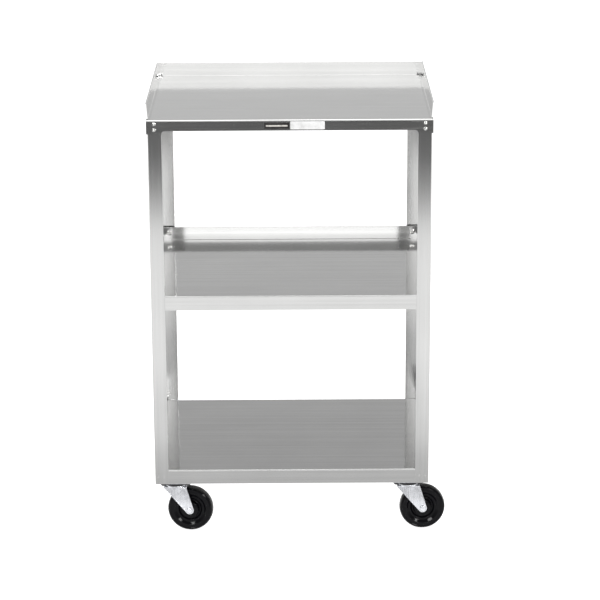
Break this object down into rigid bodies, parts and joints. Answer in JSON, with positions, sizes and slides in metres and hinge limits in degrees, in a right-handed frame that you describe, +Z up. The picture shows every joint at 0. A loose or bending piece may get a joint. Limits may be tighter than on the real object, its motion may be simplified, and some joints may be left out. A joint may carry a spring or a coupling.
{
  "type": "instrument cart",
  "caption": "Open stainless instrument cart with folded angle legs, three flanged shelves, a guard on the top shelf and swivel casters.",
  "frame": {"origin": "on the floor under the middle of the cart", "axes": "+Z up, -Y towards the front, +X to the right as seen from the front"},
  "size_m": [0.5653, 0.4204, 0.8175],
  "materials": {
    "stainless_shelf": "fine brushed grain running across the cart",
    "stainless_leg": "fine brushed grain running up the leg",
    "rivet": "plain pressed steel",
    "nameplate": "black enamelled, blank",
    "label": "white film, blank",
    "zinc_plate": "bright zinc plating",
    "dark_raceway": "dark oiled steel",
    "bearing_steel": "polished",
    "wheel": "glossy black moulded",
    "bush": "sintered bronze"
  },
  "bodies": {
    "cart_frame": {"top_shelf": "stainless_shelf", "middle_shelf": "stainless_shelf", "bottom_shelf": "stainless_shelf", "leg_front_left": "stainless_leg", "leg_front_right": "stainless_leg", "leg_rear_left": "stainless_leg", "leg_rear_right": "stainless_leg", "corner_rivet_front_left_upper": "rivet", "corner_rivet_front_left_lower": "rivet", "corner_rivet_front_right_upper": "rivet", "corner_rivet_front_right_lower": "rivet", "corner_rivet_rear_left_upper": "rivet", "corner_rivet_rear_left_lower": "rivet", "corner_rivet_rear_right_upper": "rivet", "corner_rivet_rear_right_lower": "rivet", "shelf_rivet_left": "rivet", "shelf_rivet_right": "rivet", "nameplate": "nameplate", "blank_label": "label", "caster_pad_front_left": "stainless_shelf", "caster_pad_front_right": "stainless_shelf", "caster_pad_rear_left": "stainless_shelf", "caster_pad_rear_right": "stainless_shelf", "caster_plate_front_left": "zinc_plate", "caster_plate_front_right": "zinc_plate", "caster_plate_rear_left": "zinc_plate", "caster_plate_rear_right": "zinc_plate", "raceway_cup_front_left": "dark_raceway", "raceway_cup_front_right": "dark_raceway", "raceway_cup_rear_left": "dark_raceway", "raceway_cup_rear_right": "dark_raceway", "ball_ring_front_left": "bearing_steel", "ball_ring_front_right": "bearing_steel", "ball_ring_rear_left": "bearing_steel", "ball_ring_rear_right": "bearing_steel", "king_pin_front_left": "zinc_plate", "king_pin_front_right": "zinc_plate", "king_pin_rear_left": "zinc_plate", "king_pin_rear_right": "zinc_plate"},
    "swivel_front_left": {"fork_front_left": "zinc_plate", "hub_bush_front_left": "bush", "axle_front_left": "zinc_plate", "axle_nut_front_left": "zinc_plate"},
    "wheel_front_left": {"wheel_front_left": "wheel"},
    "swivel_front_right": {"fork_front_right": "zinc_plate", "hub_bush_front_right": "bush", "axle_front_right": "zinc_plate", "axle_nut_front_right": "zinc_plate"},
    "wheel_front_right": {"wheel_front_right": "wheel"},
    "swivel_rear_left": {"fork_rear_left": "zinc_plate", "hub_bush_rear_left": "bush", "axle_rear_left": "zinc_plate", "axle_nut_rear_left": "zinc_plate"},
    "wheel_rear_left": {"wheel_rear_left": "wheel"},
    "swivel_rear_right": {"fork_rear_right": "zinc_plate", "hub_bush_rear_right": "bush", "axle_rear_right": "zinc_plate", "axle_nut_rear_right": "zinc_plate"},
    "wheel_rear_right": {"wheel_rear_right": "wheel"}
  },
  "joints": [
    {"name": "swivel_turn_front_left", "type": "hinge", "parent": "cart_frame", "child": "swivel_front_left", "pos_m": [-0.217, -0.1662, 0.0916], "axis": [0, 0, 1], "continuous": true},
    {"name": "swivel_turn_front_right", "type": "hinge", "parent": "cart_frame", "child": "swivel_front_right", "pos_m": [0.217, -0.1662, 0.0916], "axis": [0, 0, 1], "continuous": true},
    {"name": "swivel_turn_rear_left", "type": "hinge", "parent": "cart_frame", "child": "swivel_rear_left", "pos_m": [-0.217, 0.1662, 0.0916], "axis": [0, 0, 1], "continuous": true},
    {"name": "swivel_turn_rear_right", "type": "hinge", "parent": "cart_frame", "child": "swivel_rear_right", "pos_m": [0.217, 0.1662, 0.0916], "axis": [0, 0, 1], "continuous": true},
    {"name": "wheel_spin_front_left", "type": "hinge", "parent": "swivel_front_left", "child": "wheel_front_left", "pos_m": [-0.19015, -0.16902, 0.0425], "axis": [0.1045, 0.9945, 0], "continuous": true},
    {"name": "wheel_spin_front_right", "type": "hinge", "parent": "swivel_front_right", "child": "wheel_front_right", "pos_m": [0.24398, -0.16526, 0.0425], "axis": [-0.0349, 0.9994, 0], "continuous": true},
    {"name": "wheel_spin_rear_left", "type": "hinge", "parent": "swivel_rear_left", "child": "wheel_rear_left", "pos_m": [-0.23912, 0.18169, 0.0425], "axis": [-0.5736, -0.8192, 0], "continuous": true},
    {"name": "wheel_spin_rear_right", "type": "hinge", "parent": "swivel_rear_right", "child": "wheel_rear_right", "pos_m": [0.19015, 0.16338, 0.0425], "axis": [0.1045, -0.9945, 0], "continuous": true}
  ]
}
